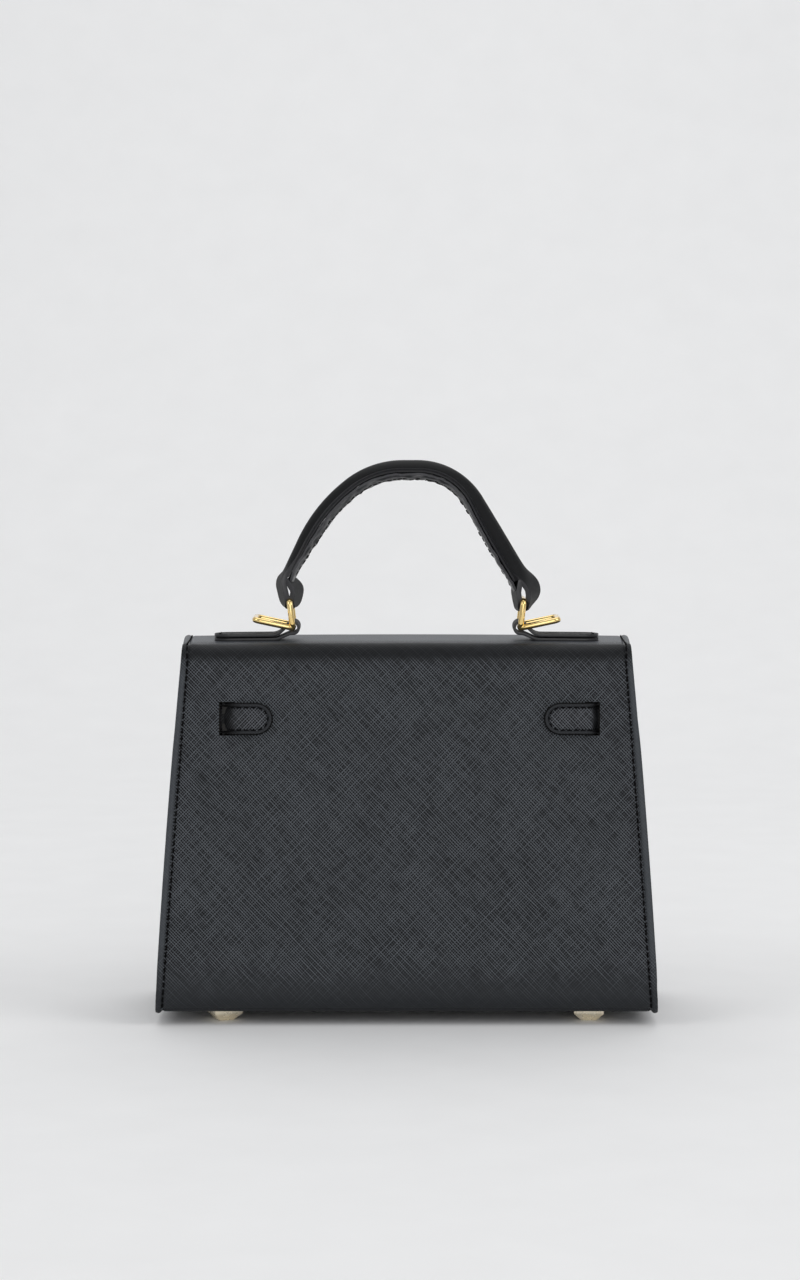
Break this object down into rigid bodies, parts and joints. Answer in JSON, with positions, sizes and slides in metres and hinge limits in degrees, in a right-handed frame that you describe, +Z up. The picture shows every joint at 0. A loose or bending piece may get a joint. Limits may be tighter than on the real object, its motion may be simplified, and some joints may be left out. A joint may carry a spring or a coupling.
{
  "type": "top handle bag",
  "caption": "Structured trapezoid handbag with a fold-over flap, turning lock, looped wire rings, an arched top handle and pyramid feet.",
  "frame": {"origin": "middle of the footprint, on the plane that the four feet stand on", "axes": "+Z up; +Y towards the flap's front and the lock; -Y is the back, which the picture shows; +X to the right in the picture"},
  "size_m": [0.25, 0.0942, 0.2795],
  "materials": {
    "black_leather": "cross-hatch emboss, satin",
    "gold_metal": "polished, pale gold",
    "magnet_metal": "plated",
    "stiff_board": "raw",
    "lining_cloth": "twill",
    "handle_filler": "painted edge"
  },
  "bodies": {
    "bag_body": {"rear_panel": "black_leather", "front_panel": "black_leather", "base_panel": "black_leather", "gusset_left": "black_leather", "gusset_right": "black_leather", "rear_board": "stiff_board", "front_board": "stiff_board", "base_board": "stiff_board", "lining": "lining_cloth", "slip_pocket": "lining_cloth", "foot_rear_left": "gold_metal", "foot_rear_right": "gold_metal", "foot_front_left": "gold_metal", "foot_front_right": "gold_metal", "foot_washers": "gold_metal", "strap_end_left": "black_leather", "strap_end_right": "black_leather", "magnet_front": "magnet_metal"},
    "flap": {"flap": "black_leather", "flap_lining": "lining_cloth", "belt_left": "black_leather", "belt_right": "black_leather", "lock_plate": "gold_metal", "lock_back_plate": "gold_metal", "magnet_flap": "magnet_metal", "handle_tab_left": "black_leather", "handle_tab_right": "black_leather"},
    "lock_bar": {"lock_bar": "gold_metal"},
    "ring_left": {"ring_left": "gold_metal"},
    "ring_right": {"ring_right": "gold_metal"},
    "handle": {"handle_cover": "black_leather", "handle_core": "handle_filler", "handle_underside": "black_leather"}
  },
  "joints": [
    {"name": "flap_open", "type": "hinge", "parent": "bag_body", "child": "flap", "pos_m": [0, -0.02899, 0.18642], "axis": [1, 0, 0], "range_deg": [0, 150]},
    {"name": "lock_turn", "type": "hinge", "parent": "flap", "child": "lock_bar", "pos_m": [0, 0.0395, 0.1523], "axis": [0, 0.9959, 0.0906], "range_deg": [0, 90]},
    {"name": "ring_left_tilt", "type": "hinge", "parent": "flap", "child": "ring_left", "pos_m": [-0.0573, 0, 0.1955], "axis": [0, 1, 0], "range_deg": [-12, 12]},
    {"name": "ring_right_tilt", "type": "hinge", "parent": "flap", "child": "ring_right", "pos_m": [0.0573, 0, 0.1955], "axis": [0, 1, 0], "range_deg": [-12, 12]},
    {"name": "handle_pivot", "type": "hinge", "parent": "ring_left", "child": "handle", "pos_m": [-0.05884, 0, 0.20901], "axis": [0, 1, 0], "range_deg": [-12, 12]}
  ],
  "couplings": [
    {"joint": "ring_right_tilt", "follows": "ring_left_tilt", "ratio": 1},
    {"joint": "handle_pivot", "follows": "ring_left_tilt", "ratio": -0.9738}
  ]
}
